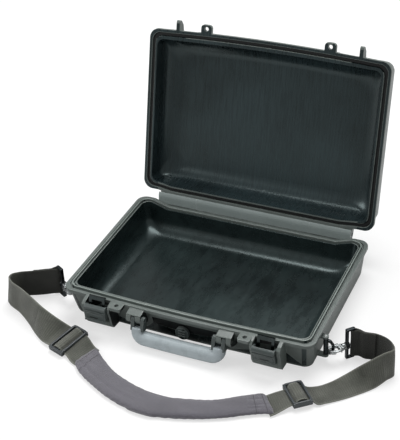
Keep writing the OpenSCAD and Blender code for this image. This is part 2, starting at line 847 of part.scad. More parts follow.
base_shell();
lid_shell();
lid_gasket();
hinge_pin();
latch_lever_left();
latch_lever_right();
latch_claw_left();
latch_claw_right();
lever_pins_left();
lever_pins_right();
claw_pin_left();
claw_pin_right();
handle_frame();
handle_grip();
handle_pins();
valve_body();
valve_cap();
valve_seal();
valve_nut();
strap_plate_left();
strap_plate_right();
strap_plate_pin_left();
strap_plate_pin_right();
snap_hook_left();
snap_hook_right();
snap_gate_left();
snap_gate_right();
gate_pin_left();
gate_pin_right();
swivel_loop_left();
swivel_loop_right();
webbing_left();
webbing_right();
slider_left();
slider_right();
shoulder_pad();
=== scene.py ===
import json
from math import atan2, copysign, cos, exp, pi, radians, sin, sqrt

import bpy
import numpy as np
from mathutils import Matrix, Vector

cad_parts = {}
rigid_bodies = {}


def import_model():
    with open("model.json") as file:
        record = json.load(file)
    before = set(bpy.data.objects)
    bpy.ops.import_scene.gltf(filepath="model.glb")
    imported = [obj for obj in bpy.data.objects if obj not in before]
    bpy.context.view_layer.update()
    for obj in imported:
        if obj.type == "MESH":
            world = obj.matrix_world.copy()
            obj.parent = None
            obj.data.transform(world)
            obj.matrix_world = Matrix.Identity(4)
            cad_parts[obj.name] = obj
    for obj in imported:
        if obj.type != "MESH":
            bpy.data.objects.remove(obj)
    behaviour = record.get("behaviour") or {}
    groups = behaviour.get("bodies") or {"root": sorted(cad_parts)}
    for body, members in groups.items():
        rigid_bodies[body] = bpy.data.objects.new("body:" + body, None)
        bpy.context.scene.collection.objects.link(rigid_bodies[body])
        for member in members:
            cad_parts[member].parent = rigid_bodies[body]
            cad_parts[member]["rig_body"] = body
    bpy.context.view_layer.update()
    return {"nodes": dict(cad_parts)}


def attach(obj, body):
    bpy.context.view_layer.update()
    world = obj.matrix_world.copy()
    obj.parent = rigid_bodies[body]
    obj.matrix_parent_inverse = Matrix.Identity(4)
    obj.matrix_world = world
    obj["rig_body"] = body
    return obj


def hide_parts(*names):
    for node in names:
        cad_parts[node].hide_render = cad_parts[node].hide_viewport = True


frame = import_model()

# The camera stands high in front of the case and to its right, so that the view
# takes in the whole lower shell, the open lid and the strap lying in front.
view_azimuth = radians(-25.851)
view_height = radians(34.378)
view_roll = radians(-3.502)
forward = Vector((sin(view_azimuth) * cos(view_height),
                  cos(view_azimuth) * cos(view_height), -sin(view_height)))
level_right = Vector((cos(view_azimuth), -sin(view_azimuth), 0))
level_up = level_right.cross(forward)
right = cos(view_roll) * level_right + sin(view_roll) * level_up
up = -sin(view_roll) * level_right + cos(view_roll) * level_up
away, aside, raised = 1.920124, 0.026101, 0.074313
standpoint = (Vector((0, 0, 0.06)) - forward * away - level_right * aside
              + level_up * raised)
camera_data = bpy.data.cameras.new("camera")
camera_data.sensor_fit = "HORIZONTAL"
camera_data.sensor_width = 36
camera_data.lens = 105.505
camera_data.clip_end = 30
camera = bpy.data.objects.new("camera", camera_data)
bpy.context.scene.collection.objects.link(camera)
camera.matrix_world = Matrix(((right.x, up.x, -forward.x, standpoint.x),
                              (right.y, up.y, -forward.y, standpoint.y),
                              (right.z, up.z, -forward.z, standpoint.z),
                              (0, 0, 0, 1)))
bpy.context.scene.camera = camera


# Shoulder strap webbing: two lengths of 50 mm polyester webbing, woven with a ribbed
# face and firm edges. Each goes round the bar of its swivel loop, is sewn back on
# itself there, stands on its edge round a fold, and then lies down to its slider.
def plain_start():
    """Leaves edit mode and lets go of everything that is selected."""
    if bpy.context.object and bpy.context.object.mode != "OBJECT":
        bpy.ops.object.mode_set(mode="OBJECT")
    bpy.ops.object.select_all(action="DESELECT")


def named(piece_name):
    piece = bpy.context.object
    piece.name = piece_name
    piece.data.name = piece_name
    return piece


def only(piece):
    """Leaves edit mode and makes one piece the active and only selected one."""
    plain_start()
    bpy.context.view_layer.objects.active = piece
    piece.select_set(True)


def finish_with(piece, kind, **settings):
    """Adds one modifier to a piece and applies it."""
    only(piece)
    modifier = piece.modifiers.new(kind.lower(), kind)
    for setting, value in settings.items():
        setattr(modifier, setting, value)
    bpy.ops.object.modifier_apply(modifier=modifier.name)


def smooth(piece, angle, finish=None):
    """Smooths a piece up to an angle, and gives it its finish."""
    only(piece)
    bpy.ops.object.shade_smooth_by_angle(angle=radians(angle))
    if finish:
        piece.data.materials.append(finish)
    return piece


def eased(one_edge, other_edge, count):
    """Pairs of points at even steps on two smooth lines that run side by side."""
    line = np.hstack([np.array(one_edge, dtype=float), np.array(other_edge, dtype=float)])
    size = line.shape[1] // 2
    middle = (line[:, :size] + line[:, size:]) / 2
    steps = np.linalg.norm(np.diff(middle, axis=0), axis=1)
    place = np.concatenate([[0], np.cumsum(steps)])
    slope = np.gradient(line, place, axis=0)
    points = []
    for at in np.linspace(0, place[-1], count):
        k = min(int(np.searchsorted(place, at, side="right")) - 1, len(place) - 2)
        span = place[k + 1] - place[k]
        t = (at - place[k]) / span
        points.append((2 * t ** 3 - 3 * t ** 2 + 1) * line[k]
                      + (t ** 3 - 2 * t ** 2 + t) * span * slope[k]
                      + (-2 * t ** 3 + 3 * t ** 2) * line[k + 1]
                      + (t ** 3 - t ** 2) * span * slope[k + 1])
    points = np.array(points)
    return points[:, :size], points[:, size:]


def shade(red, green, blue):
    """A colour as a colour picker shows it, made linear for the shader."""
    return tuple((c / 255 / 12.92 if c / 255 <= 0.04045
                  else ((c / 255 + 0.055) / 1.055) ** 2.4)
                 for c in (red, green, blue)) + (1.0,)


def put(tree, kind, inputs=None, **settings):
    """Places one node with its settings, input values and input links."""
    node = tree.nodes.new(kind)
    for setting, value in settings.items():
        setattr(node, setting, value)
    for socket, value in (inputs or {}).items():
        if isinstance(value, bpy.types.NodeSocket):
            tree.links.new(value, node.inputs[socket])
        else:
            node.inputs[socket].default_value = value
    return node


def sums(tree, operation, a, b=0.0, clamp=False):
    return put(tree, "ShaderNodeMath", {0: a, 1: b}, operation=operation,
               use_clamp=clamp).outputs[0]


def times(tree, a, b, clamp=False):
    return sums(tree, "MULTIPLY", a, b, clamp)


def blended(tree, factor, a, b):
    return put(tree, "ShaderNodeMix", {0: factor, 6: a, 7: b}, data_type="RGBA").outputs[2]


def ramped(tree, value, low, high, to_low=0.0, to_high=1.0):
    return put(tree, "ShaderNodeMapRange", {0: value, 1: low, 2: high, 3: to_low,
                                            4: to_high}).outputs[0]


def new_group(group_name, inputs, outputs):
    """An empty shader node group with its named sockets."""
    group = bpy.data.node_groups.new(group_name, "ShaderNodeTree")
    for socket, value in inputs.items():
        item = group.interface.new_socket(socket, in_out="INPUT",
                                          socket_type="NodeSocketFloat")
        item.default_value = value
    for socket in outputs:
        group.interface.new_socket(socket, in_out="OUTPUT", socket_type="NodeSocketFloat")
    return group, put(group, "NodeGroupInput"), put(group, "NodeGroupOutput")


def use_group(tree, group_name, **values):
    values = {socket.replace("_", " "): value for socket, value in values.items()}
    return put(tree, "ShaderNodeGroup", values,
               node_tree=bpy.data.node_groups[group_name])


def bare_material(material_name, **sockets):
    """A new material and its node tree, with the even sockets of its shader set."""
    material = bpy.data.materials.new(material_name)
    material.use_nodes = True
    tree = material.node_tree
    shader = tree.nodes["Principled BSDF"]
    for socket, value in sockets.items():
        shader.inputs[socket.replace("_", " ")].default_value = value
    return material, tree


def finished(material, colour, roughness, height=None, depth=0.0, strength=0.0):
    """Links the colour, roughness and bump of a material."""
    tree = material.node_tree
    sockets = tree.nodes["Principled BSDF"].inputs
    tree.links.new(colour, sockets["Base Color"])
    tree.links.new(roughness, sockets["Roughness"])
    if height:
        bump = put(tree, "ShaderNodeBump", {"Height": height, "Distance": depth,
                                            "Strength": strength})
        tree.links.new(bump.outputs[0], sockets["Normal"])
    return material


def object_place(tree):
    return put(tree, "ShaderNodeTexCoord").outputs["Object"]


def noise(tree, place, scale, detail=2.0, roughness=0.5):
    """The grey value of one noise texture."""
    values = {"Vector": place, "Scale": scale, "Detail": detail, "Roughness": roughness}
    return put(tree, "ShaderNodeTexNoise", values).outputs["Fac"]


def tinted(colour, by, plus=0.0):
    """A darker or lighter version of a colour, with no channel over one."""
    return tuple(min(c * by + plus, 1) for c in colour[:3]) + (1.0,)


# Ribbed weave: ribs across the webbing, fine warp threads along it.
tree, weave_in, weave_out = new_group(
    "ribbed_weave", {"Rib pitch": 0.0018, "Thread pitch": 0.0011},
    ("Height", "Threads", "Edge"))
lie = put(tree, "ShaderNodeUVMap", uv_map="webbing_lie")
lie = put(tree, "ShaderNodeSeparateXYZ", {0: lie.outputs[0]})
ribs = sums(tree, "DIVIDE", lie.outputs[0], weave_in.outputs["Rib pitch"])
ribs = sums(tree, "SINE", times(tree, ribs, 2 * pi))
warp = sums(tree, "DIVIDE", lie.outputs[1], weave_in.outputs["Thread pitch"])
warp = sums(tree, "ADD", warp, times(tree, sums(tree, "SIGN", ribs), 0.25))
warp = sums(tree, "SINE", times(tree, warp, 2 * pi))
woven = sums(tree, "ADD", times(tree, ribs, 0.6), times(tree, warp, 0.4))
from_middle = sums(tree, "ABSOLUTE", sums(tree, "SUBTRACT", lie.outputs[1], 0.025))
for value, low, high, socket in ((woven, -1, 1, "Height"), (warp, -1, 1, "Threads"),
                                 (from_middle, 0.0215, 0.0235, "Edge")):
    tree.links.new(ramped(tree, value, low, high), weave_out.inputs[socket])


def webbing_finish(material_name, dark, light, loop_painted_shade):
    """Dyed polyester webbing: ribbed, lighter where rubbed, darker by its loop as painted
    shade.
    """
    material, tree = bare_material(material_name, Sheen_Weight=0.35, Sheen_Roughness=0.45,
                                   Specular_IOR_Level=0.25)
    weave = use_group(tree, "ribbed_weave").outputs
    here = object_place(tree)
    fade = noise(tree, here, 38.0, 4.0)
    fuzz = noise(tree, here, 900.0)
    tone = blended(tree, ramped(tree, fade, 0.35, 0.7), dark, light)
    tone = blended(tree, times(tree, weave["Threads"], 0.4), tone, tinted(dark, 0.45))
    tone = blended(tree, times(tree, weave["Edge"], 0.5), tone, tinted(light, 1.7))
    tone = blended(tree, ramped(tree, fuzz, 0.55, 0.8, 0.0, 0.35), tone,
                   tinted(light, 2.2))
    lie = put(tree, "ShaderNodeSeparateXYZ",
              {0: put(tree, "ShaderNodeUVMap", uv_map="webbing_lie").outputs[0]})
    rib_pitch = 0.0034
    wave = times(tree, lie.outputs[0], 2 * pi / rib_pitch)
    ribs = times(tree, ramped(tree, sums(tree, "SINE", wave), 0.1, 0.9),
                 ramped(tree, fade, 0.35, 0.65, 0.16, 0.5))
    tone = blended(tree, ribs, tone, tinted(dark, 0.4))
    # painted shade: near-black over the first 112 mm of each length, by its loop, fading
    # out by 130 mm
    loop_shade = ramped(tree, lie.outputs[0], 0.112, 0.13, loop_painted_shade, 0.0)
    tone = blended(tree, loop_shade, tone, (0.006, 0.006, 0.006, 1.0))
    height = sums(tree, "ADD", weave["Height"], times(tree, fuzz, 0.3))
    return finished(material, tone, ramped(tree, weave["Height"], 0, 1, 0.9, 0.7),
                    height, 0.0005, 0.8)


webbing_cloth, webbing_fold_cloth = (
    webbing_finish(name, shade(84, 86, 79), shade(112, 114, 106), loop_painted_shade)
    for name, loop_painted_shade in (("webbing_cloth", 0.72), ("webbing_fold_cloth", 0.0)))
webbing_wide = 0.05
webbing_thick = 0.0018
webbing_spread = 48.5  # millimetres between the edge lines where it isn't cupped


def laid_webbing(piece_name, low_edge, high_edge, ripple_seed, cloth):
    """A length of webbing between its two edge lines, with rounded thin edges."""
    rows = 14 * len(low_edge)
    low, high = eased(low_edge, high_edge, rows)
    plain_start()
    columns = 14
    bpy.ops.mesh.primitive_grid_add(x_subdivisions=rows - 1, y_subdivisions=columns,
                                    size=1)
    piece = named(piece_name)
    mesh = piece.data
    run = np.linalg.norm(np.diff((low + high) / 2, axis=0), axis=1)
    run = np.concatenate([[0], np.cumsum(run)])
    along = np.gradient((low + high) / 2, axis=0)
    waver = np.random.default_rng(ripple_seed)
    phases = waver.uniform(0, 2 * pi, 3)
    places = {}
    for vertex in mesh.vertices:
        i = int(round((vertex.co.x + 0.5) * (rows - 1)))
        s = round((vertex.co.y + 0.5) * columns) / columns
        spot = low[i] + (high[i] - low[i]) * s
        face = np.cross(along[i], high[i] - low[i])
        face /= np.linalg.norm(face)
        # a slight cupping across the width and a slow waver along the length
        lift = 0.35 * sin(run[i] / 31 + phases[0]) * sin(pi * s)
        lift += 0.25 * sin(run[i] / 17 + phases[1]) * sin(2 * pi * s)
        chord = np.linalg.norm(high[i] - low[i])
        steep = abs(high[i][2] - low[i][2]) / chord
        spare = sqrt(max(webbing_spread ** 2 - chord ** 2, 0))
        lift += 0.2 * spare * min(max(steep * 3 - 1, 0), 1) * sin(pi * s)
        places[vertex.index] = (run[i] / 1000, s * webbing_wide)
        vertex.co = Vector((spot + face * lift) / 1000)
    sheet_map = mesh.uv_layers.active
    sheet_map.name = "webbing_lie"
    for loop in mesh.loops:
        sheet_map.data[loop.index].uv = places[loop.vertex_index]
    finish_with(piece, "SOLIDIFY", thickness=webbing_thick, offset=0)
    finish_with(piece, "BEVEL", limit_method="ANGLE", angle_limit=radians(60),
                width=0.0006, segments=2)
    return smooth(piece, 50, cloth), float(run[-1]) / 1000


def round_bar(centre, start, stop, reach, low, high):
    """Stations where the webbing goes round the bar of its loop."""
    turns = [radians(start + (stop - start) * k / 7) for k in range(8)]
    spots = [(centre[0] + reach * cos(a), centre[1] + reach * sin(a))
             for a in turns]
    return [(x, y, low) for x, y in spots], [(x, y, high) for x, y in spots]


bend_low, bend_high = round_bar((253.36, -73.60), -60, -270, 3.3, 3.5, 53.5)
right_low = [(289, -72.3, 1.2), (281, -73, 1.3), (273, -74.4, 1.5), (263, -73.2, 3)]
right_low += bend_low + [
    (262, -70, 3), (273, -72, 1.5), (290, -70, 1), (306, -74, 1), (319, -83, 1),
    (325, -95, 1), (317.4, -110.5, 1.2), (308, -130.7, 1.2), (297, -145, 1.2),
    (283.2, -159.9, 1.2), (268.1, -175, 1.8), (250.2, -190.5, 2.5), (240, -199, 4.2),
    (230.7, -198.8, 8.3), (207, -218.8, 8.3), (189.8, -238.9, 3.5), (184, -246, 3.2)]
right_high = [(288, -71.3, 51.2), (280, -72, 51.3), (270, -73.4, 51.5), (262, -72.8, 53)]
right_high += bend_high + [
    (262, -70, 53), (270, -71, 51.5), (289, -69, 51), (305, -73, 51), (317, -82, 51),
    (323, -93, 51), (311.4, -107.2, 50), (295.9, -118.3, 42), (276.2, -122.8, 25),
    (256.7, -131.2, 9), (241, -147.3, 4), (224.7, -163, 4), (214, -168.5, 4.6),
    (205.8, -169.3, 5.5), (182, -189.4, 5.4), (163.2, -206.1, 3.5), (157.4, -213.2, 3.2)]
webbing_right, right_run = laid_webbing("strap_webbing_right", right_low, right_high, 3,
                                        webbing_cloth)

bend_low, bend_high = round_bar((-251.18, -91.91), 100, -68, 3.3, 3.5, 53.5)
left_low = [(-290, -110.8, 1.2), (-282, -107.2, 1.3), (-275.5, -103.8, 1.5),
            (-261.5, -97.6, 3), (-255, -89.6, 3.4)]
left_low += bend_low + [
    (-261, -100, 3), (-275, -106, 1.5), (-298, -117, 1), (-318, -127, 1),
    (-325, -134, 1), (-325, -142, 1), (-318, -149, 1), (-290, -163, 1), (-262, -182, 1),
    (-236, -203, 2), (-214, -218, 4), (-197, -224, 6), (-165, -234, 6),
    (-145.5, -245.5, 3), (-137, -248.6, 3)]
left_high = [(-289, -109.3, 51.2), (-281, -105.7, 51.3), (-272.5, -100.8, 51.5),
             (-261.5, -96.8, 53), (-255, -89.6, 53.4)]
left_high += bend_high + [
    (-261, -99, 53), (-272, -103, 51.5), (-292, -113, 51), (-310, -123, 51),
    (-318, -131, 51), (-318, -139, 51), (-311, -146, 51), (-284, -158, 50),
    (-255, -172, 49), (-226, -184, 44), (-200, -182, 26), (-182, -177, 11),
    (-150, -187, 11), (-128, -199.5, 3), (-120, -203, 3)]
webbing_left, left_run = laid_webbing("strap_webbing_left", left_low, left_high, 5,
                                      webbing_cloth)

for webbing, run, node in ((webbing_right, right_run, "webbing_right"),
                           (webbing_left, left_run, "webbing_left")):
    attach(webbing, "case")
    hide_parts(node)


# Shoulder pad: a curved cushion of heathered grey polyester over foam, sewn shut round
# its edge, with a fold pressed into its left half and short tucks where the webbing
# goes in. It lies flat on the floor.
pad_front = [(-146, -248), (-128, -264), (-110, -275), (-77, -292), (-46, -304),
             (-12, -311), (13, -312), (39, -307), (64, -301), (94, -291), (123, -278),
             (150, -262), (172, -250), (193, -243)]
pad_rear = [(-127, -198), (-113, -212), (-97, -224), (-68, -241), (-40, -251),
            (-14, -258), (9, -261), (34, -259), (58, -254), (84, -246), (108, -235),
            (131, -221), (147, -211), (160, -202)]
pad_rows = 72
pad_front_line, pad_rear_line = eased(pad_front, pad_rear, pad_rows)
pad_high = 11.0


def edit_all():
    """Enters edit mode with everything selected."""
    bpy.ops.object.mode_set(mode="EDIT")
    bpy.ops.mesh.select_all(action="SELECT")


def facing_out():
    """Turns what is selected outward and leaves edit mode."""
    bpy.ops.mesh.normals_make_consistent(inside=False)
    bpy.ops.object.mode_set(mode="OBJECT")


def ring_faces(rows, around):
    """The faces between rows of points that each run round in a ring."""
    return [(i * around + k, i * around + (k + 1) % around,
             (i + 1) * around + (k + 1) % around, (i + 1) * around + k)
            for i in range(rows - 1) for k in range(around)]


def rebuilt(piece, verts, faces, capped=None):
    """Gives a piece new points and faces, and ends of so many points if capped."""
    if capped:
        faces = faces + [tuple(range(capped - 1, -1, -1)),
                         tuple(range(len(verts) - capped, len(verts)))]
    piece.data.clear_geometry()
    piece.data.from_pydata(verts, [], faces)


def pad_form(piece_name, shrink, swell):
    """The closed crowned form of the pad, drawn in by a distance all round."""
    around = 28
    plain_start()
    bpy.ops.mesh.primitive_cylinder_add(vertices=around, radius=1, depth=1,
                                        end_fill_type="TRIFAN")
    edit_all()
    bpy.ops.mesh.bisect(plane_co=(0, 0, 0), plane_no=(0, 0, 1))
    bpy.ops.object.mode_set(mode="OBJECT")
    piece = named(piece_name)
    verts = []
    for i in range(pad_rows):
        end = min(i, pad_rows - 1 - i) / 3.0
        ease = sqrt(1 - (1 - min(end, 1)) ** 2) * 0.6 + 0.4
        front, rear = pad_front_line[i], pad_rear_line[i]
        middle = (front + rear) / 2
        half = (rear - front) / 2
        half = half * (1 - shrink / np.linalg.norm(half))
        for k in range(around):
            a = 2 * pi * k / around
            side = copysign(abs(cos(a)) ** 0.55, cos(a))
            lift = copysign(abs(sin(a)) ** 0.6, sin(a))
            z = pad_high * (0.5 + (0.5 - shrink / pad_high) * lift * ease * swell)
            spot = middle + half * side
            verts.append((spot[0] / 1000, spot[1] / 1000, z / 1000))
    rebuilt(piece, verts, ring_faces(pad_rows, around), around)
    only(piece)
    edit_all()
    facing_out()
    return piece


def pad_lie(x, y):
    """Place on the pad, as a share of its length and a share of its width."""
    middle = (pad_front_line + pad_rear_line) / 2
    reach = pad_rear_line - pad_front_line
    spot = np.array((x, y)) * 1000
    i = int(np.argmin(np.linalg.norm(middle - spot, axis=1)))
    best = None
    for k in range(max(i - 4, 0), min(i + 5, pad_rows)):
        share = float(np.dot(spot - pad_front_line[k], reach[k])
                      / np.dot(reach[k], reach[k]))
        off = np.linalg.norm(spot - (pad_front_line[k] + reach[k] * share))
        if best is None or off < best[0]:
            best = (off, k, share)
    return best[1] / (pad_rows - 1), best[2]


def puffed(piece, pressure, reach):
    """Lets the cloth skin swell a little, and keeps each point within a reach."""
    bpy.context.view_layer.objects.active = piece
    start = [vertex.co.copy() for vertex in piece.data.vertices]
    cloth = piece.modifiers.new("cloth", "CLOTH")
    for setting, value in (("quality", 5), ("mass", 0.25), ("tension_stiffness", 25),
                           ("compression_stiffness", 25), ("bending_stiffness", 1.2),
                           ("use_pressure", True), ("uniform_pressure_force", pressure)):
        setattr(cloth.settings, setting, value)
    cloth.settings.effector_weights.gravity = 0
    cloth.collision_settings.use_self_collision = False
    scene = bpy.context.scene
    for step in range(1, 21):
        scene.frame_set(step)
    swollen = piece.evaluated_get(bpy.context.evaluated_depsgraph_get())
    moved = [vertex.co.copy() for vertex in swollen.data.vertices]
    piece.modifiers.remove(cloth)
    scene.frame_set(1)
    for vertex, was, now in zip(piece.data.vertices, start, moved):
        step = now - was
        if step.length > reach:
            step = step * (reach / step.length)
        vertex.co = was + step


shoulder_pad = pad_form("shoulder_pad_cushion", 1.2, 0.92)
finish_with(shoulder_pad, "REMESH", mode="VOXEL", voxel_size=0.004)
puffed(shoulder_pad, 4.0, 0.0016)
finish_with(shoulder_pad, "SUBSURF", levels=1, render_levels=1)


def dip(value, middle, width):
    return exp(-((value - middle) / width) ** 2)


pad_bumps = np.random.default_rng(11).uniform(-1, 1, (9, 4))
for vertex in shoulder_pad.data.vertices:
    length, width = pad_lie(vertex.co.x, vertex.co.y)
    change = 0.0
    if vertex.co.z > 0.0045:
        # the pressed fold, which fades out toward the middle of the pad
        fold_at = 0.30 + 0.10 * length
        fold = 0.0026 * dip(width, fold_at, 0.05) * max(0.0, 1 - length / 0.42)
        change -= fold * min(1, length / 0.06 + 0.3)
        change += 0.0010 * dip(width, fold_at + 0.11, 0.07) * max(0.0, 1 - length / 0.5)
        # tucks at both ends, where the cover gathers round the webbing
        for k, (a, b, c, _) in enumerate(pad_bumps):
            at_end = 0.05 + 0.035 * abs(a)
            share = 0.12 + 0.76 * (k + 0.5) / 9 + 0.03 * b
            near = length if c > -0.3 else 1 - length
            change -= 0.0011 * dip(near, at_end, 0.035) * dip(width, share, 0.028)
        # a slow unevenness in the foam
        change += 0.0005 * sin(length * 31 + width * 4) * sin(width * 5 + 1)
    # the sewn seam round the edge, where the two covers meet
    at_rim = max(dip(width, 0.0, 0.05), dip(width, 1.0, 0.05))
    if 0.0022 < vertex.co.z < 0.0072:
        middle = (pad_front_line + pad_rear_line) / 2000
        k = int(round(length * (pad_rows - 1)))
        inward = Vector((middle[k][0] - vertex.co.x, middle[k][1] - vertex.co.y, 0))
        at_rim *= dip(vertex.co.z, 0.0046, 0.0012)
        vertex.co += inward.normalized() * 0.0012 * at_rim
    vertex.co.z = max(vertex.co.z + change, 0.0003)
smooth(shoulder_pad, 180)

# Fine plain weave for the pad cover, laid over Object coordinates.
tree, weave_in, weave_out = new_group(
    "plain_weave", {"Pitch": 0.0011}, ("Height", "Heather"))
here = object_place(tree)
spread = put(tree, "ShaderNodeSeparateXYZ", {0: here})
turns = sums(tree, "DIVIDE", 2 * pi, weave_in.outputs["Pitch"])
first, second = (sums(tree, "SINE", times(tree, spread.outputs[i], turns))
                 for i in (0, 1))
crossed = times(tree, first, second)
tree.links.new(ramped(tree, crossed, -1, 1), weave_out.inputs["Height"])
heather = noise(tree, here, 620.0, 3.0, 0.7)
tree.links.new(ramped(tree, heather, 0.3, 0.7), weave_out.inputs["Heather"])


def pad_finish(material_name, dark, light):
    """Heathered polyester with a soft nap, darker in noise patches that are also raised.
    """
    material, tree = bare_material(material_name, Sheen_Weight=0.5, Sheen_Roughness=0.6,
                                   Specular_IOR_Level=0.2)
    weave = use_group(tree, "plain_weave").outputs
    patches = noise(tree, object_place(tree), 26.0, 3.0)
    tone = blended(tree, weave["Heather"], dark, light)
    tone = blended(tree, ramped(tree, patches, 0.35, 0.75, 0.0, 0.45), tone,
                   tinted(dark, 0.8))
    height = sums(tree, "ADD", weave["Height"], times(tree, patches, 2.5))
    return finished(material, tone, ramped(tree, patches, 0.3, 0.7, 0.95, 0.8),
                    height, 0.0005, 0.6)


pad_cover = pad_finish("pad_cover", shade(88, 86, 94), shade(112, 110, 119))
shoulder_pad.data.materials.append(pad_cover)
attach(shoulder_pad, "case")
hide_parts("shoulder_pad")


def row_of_stitches(piece_name, places, long, thick, finish):
    """Short thread stitches, each a small capsule, modelled once and copied along."""
    plain_start()
    bpy.ops.mesh.primitive_cylinder_add(vertices=6, radius=thick / 2, depth=long * 0.6)
    bpy.ops.object.mode_set(mode="EDIT")
    bpy.ops.mesh.select_all(action="DESELECT")
    bpy.ops.mesh.select_mode(type="FACE")
    bpy.ops.object.mode_set(mode="OBJECT")
    stitch = named(piece_name)
    for face in stitch.data.polygons:
        face.select = abs(face.normal.z) > 0.9
    bpy.ops.object.mode_set(mode="EDIT")
    bpy.ops.mesh.extrude_faces_move(TRANSFORM_OT_shrink_fatten={"value": 0.0})
    bpy.ops.object.mode_set(mode="OBJECT")
    for vertex in stitch.data.vertices:
        if vertex.select:
            vertex.co = Vector((vertex.co.x * 0.4, vertex.co.y * 0.4,
                                copysign(long / 2, vertex.co.z)))
    base = [vertex.co.copy() for vertex in stitch.data.vertices]
    faces = [tuple(face.vertices) for face in stitch.data.polygons]
    verts = []
    every = []
    for spot, heading in places:
        turn = Vector(heading).to_track_quat("Z", "Y").to_matrix()
        start = len(verts)
        verts += [tuple(Vector(spot) + turn @ co) for co in base]
        every += [tuple(start + index for index in face) for face in faces]
    rebuilt(stitch, verts, every)
    return smooth(stitch, 80, finish)


def thread_finish(material_name, tone):
    material, tree = bare_material(material_name, Sheen_Weight=0.2)
    twist = noise(tree, object_place(tree), 1800.0)
    return finished(material, blended(tree, twist, tone, tinted(tone, 0.5)),
                    ramped(tree, twist, 0.3, 0.7, 0.6, 0.85))


dark_thread = thread_finish("dark_thread", shade(40, 40, 42))


def over_pad(x, y):
    """Height of the pad's top at a place, found on its finished mesh."""
    found, spot, _, _ = shoulder_pad.ray_cast(Vector((x, y, 0.05)), Vector((0, 0, -1)))
    return spot.z if found else 0.004


end_places = []
for i, step in ((2, 1), (pad_rows - 3, -1)):
    for row in (0, 3):
        a = pad_front_line[i + step * row] / 1000
        b = pad_rear_line[i + step * row] / 1000
        for k in range(13):
            at = a + (b - a) * (0.10 + 0.80 * (k + 0.5) / 13)
            end_places.append(((at[0], at[1], over_pad(at[0], at[1]) + 0.0001),
                               tuple(b - a) + (0,)))
pad_stitches = row_of_stitches("shoulder_pad_stitches", end_places, 0.003, 0.0007,
                               dark_thread)
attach(pad_stitches, "case")


# Lower shell: one moulding of black polypropylene with a flange and a tongue all round
# its rim, latch bays, padlock lugs and handle brackets on its front wall, and a hinge
# barrel behind. The grain outside is fine, the inside smoother.
tree, grain_in, grain_out = new_group(
    "moulded_grain", {"Grain scale": 1500.0}, ("Height", "Mottle"))
here = object_place(tree)
pebbles = put(tree, "ShaderNodeTexVoronoi",
              {"Vector": here, "Scale": grain_in.outputs["Grain scale"]},
              feature="SMOOTH_F1")
tree.links.new(sums(tree, "ADD", pebbles.outputs["Distance"], noise(tree, here, 2600.0)),
               grain_out.inputs["Height"])
tree.links.new(ramped(tree, noise(tree, here, 21.0, 5.0, 0.62), 0.32, 0.7),
               grain_out.inputs["Mottle"])

# Rubbed edges, lightened as wear and as a painted edge highlight: where the rounded normal
# leaves the flat one, broken up by noise.
tree, rub_in, rub_out = new_group("edge_wear_and_highlight", {"Reach": 0.0012, "Broken": 60.0}, ("Rub",))
rounded = put(tree, "ShaderNodeBevel", {"Radius": rub_in.outputs["Reach"]}, samples=4)
flat = put(tree, "ShaderNodeNewGeometry")
agree = put(tree, "ShaderNodeVectorMath",
            {0: rounded.outputs[0], 1: flat.outputs["Normal"]},
            operation="DOT_PRODUCT").outputs["Value"]
broken = noise(tree, object_place(tree), rub_in.outputs["Broken"], 4.0)
tree.links.new(times(tree, ramped(tree, agree, 0.995, 0.86),
                     ramped(tree, broken, 0.35, 0.65, 0.35, 1.0), clamp=True),
               rub_out.inputs["Rub"])

# Dust that settles on faces that look up.
tree, dust_in, dust_out = new_group("settled_dust", {"Patch scale": 45.0}, ("Dust",))
facing = put(tree, "ShaderNodeSeparateXYZ",
             {0: put(tree, "ShaderNodeNewGeometry").outputs["Normal"]})
patch = noise(tree, object_place(tree), dust_in.outputs["Patch scale"], 6.0)
tree.links.new(times(tree, ramped(tree, facing.outputs[2], 0.6, 1.0),
                     ramped(tree, patch, 0.45, 0.75), clamp=True),
               dust_out.inputs["Dust"])


def moulded_finish(material_name, tone, worn_and_lit, roughness, grain=1500.0,
                   bump_depth=0.00012):
    """Moulded plastic: pebbled grain, flow mottle, rubbed edges with a painted highlight,
    a trace of dust.
    """
    material, tree = bare_material(material_name, Specular_IOR_Level=0.45)
    pebbled = use_group(tree, "moulded_grain", Grain_scale=grain).outputs
    wear_and_highlight = use_group(tree, "edge_wear_and_highlight").outputs["Rub"]
    dust = use_group(tree, "settled_dust").outputs["Dust"]
    base = blended(tree, times(tree, pebbled["Mottle"], 0.25), tone,
                   tinted(tone, 1.3, 0.004))
    # edges lighten, partly as wear and partly as a painted highlight
    base = blended(tree, times(tree, wear_and_highlight, 0.75), base, worn_and_lit)
    base = blended(tree, times(tree, dust, 0.06), base, shade(150, 150, 145))
    rough = ramped(tree, pebbled["Mottle"], 0, 1, roughness - 0.06, roughness + 0.06)
    rough = sums(tree, "SUBTRACT", rough, times(tree, wear_and_highlight, 0.12))
    return finished(material, base, rough, pebbled["Height"], bump_depth, 0.7)


def lining_finish(material_name, tone, streak, stretch=(70, 26, 70), turn=0.0):
    """The smoother inside of a shell, with the faint clouds and lines of handling, in dark
    tones that are painted shade.
    """
    material, tree = bare_material(material_name, Specular_IOR_Level=0.62,
                                   Specular_Tint=(0.82, 1.0, 1.0, 1.0))
    here = object_place(tree)
    stretched = put(tree, "ShaderNodeMapping", {"Vector": here, "Scale": stretch,
                                                "Rotation": (turn, 0, 0)})
    streaks = noise(tree, stretched.outputs[0], 1.0, 8.0, 0.6)
    clouds = ramped(tree, noise(tree, here, 6.5, 3.0), 0.38, 0.64, 0.0, 0.55)
    soft = ramped(tree, streaks, 0.3, 0.7, 0.0, 0.45)
    flecks = ramped(tree, noise(tree, here, 420.0), 0.68, 0.74)
    base = blended(tree, sums(tree, "ADD", soft, clouds, clamp=True), tone, streak)
    base = blended(tree, times(tree, flecks, 0.15), base, shade(80, 86, 84))
    return finished(material, base, ramped(tree, streaks, 0.3, 0.75, 0.24, 0.33),
                    streaks, 0.0001, 0.05)


